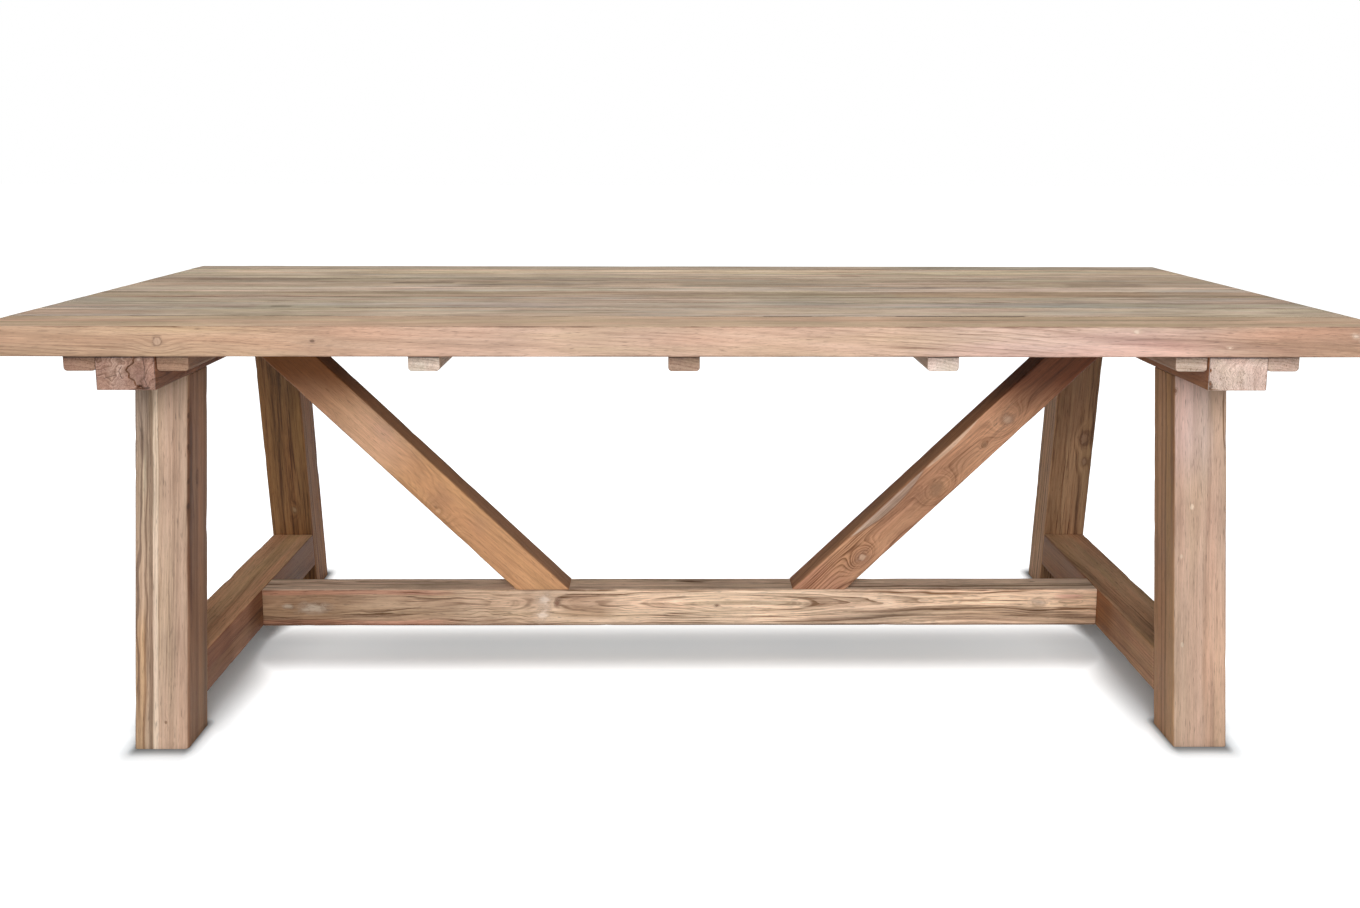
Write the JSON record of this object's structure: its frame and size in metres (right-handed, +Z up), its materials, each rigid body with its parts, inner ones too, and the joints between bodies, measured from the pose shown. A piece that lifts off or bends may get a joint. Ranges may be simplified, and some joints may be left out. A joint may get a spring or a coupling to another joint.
{
  "type": "trestle dining table",
  "caption": "Rectangular dining table: thick planked wooden top on A-frame trestles, tied by a low stretcher with diagonal braces.",
  "frame": {"origin": "on the floor, under the middle of the top", "axes": "+X along the table's length, +Y towards the rear long side, +Z up"},
  "size_m": [2.4, 1, 0.79],
  "materials": {
    "top_boards": "weathered greyish-tan reclaimed teak, open grain, unvarnished",
    "battens": "sawn teak, unvarnished",
    "trestle_timber": "reclaimed teak, brushed, worn arrises",
    "stretcher_timber": "reclaimed teak with bold cathedral grain",
    "brace_timber": "warm reclaimed teak with round knots",
    "pegs_and_plugs": "turned hardwood, cut flush",
    "steel_fasteners": "zinc-plated"
  },
  "bodies": {
    "root": {"batten_centre": "battens", "batten_left_inner": "battens", "batten_left_middle": "battens", "batten_left_outer": "battens", "batten_right_inner": "battens", "batten_right_middle": "battens", "batten_right_outer": "battens", "batten_screws": "steel_fasteners", "beam_left": "trestle_timber", "beam_right": "trestle_timber", "board_dowels": "pegs_and_plugs", "bolt_cover_plugs": "pegs_and_plugs", "brace_foot_screws": "steel_fasteners", "brace_head_screws": "steel_fasteners", "brace_left": "brace_timber", "brace_right": "brace_timber", "coach_screw_washers": "steel_fasteners", "coach_screws": "steel_fasteners", "edge_plug": "pegs_and_plugs", "foot_rail_left": "trestle_timber", "foot_rail_right": "trestle_timber", "leg_front_left": "trestle_timber", "leg_front_right": "trestle_timber", "leg_pegs": "pegs_and_plugs", "leg_rear_left": "trestle_timber", "leg_rear_right": "trestle_timber", "rail_pegs": "pegs_and_plugs", "stretcher": "stretcher_timber", "stretcher_barrel_nuts": "steel_fasteners", "stretcher_bolt_washers": "steel_fasteners", "stretcher_bolts": "steel_fasteners", "top_board_01": "top_boards", "top_board_02": "top_boards", "top_board_03": "top_boards", "top_board_04": "top_boards", "top_board_05": "top_boards", "top_board_06": "top_boards", "top_board_07": "top_boards", "top_board_08": "top_boards", "top_board_09": "top_boards", "top_board_10": "top_boards", "top_board_11": "top_boards"}
  },
  "joints": []
}
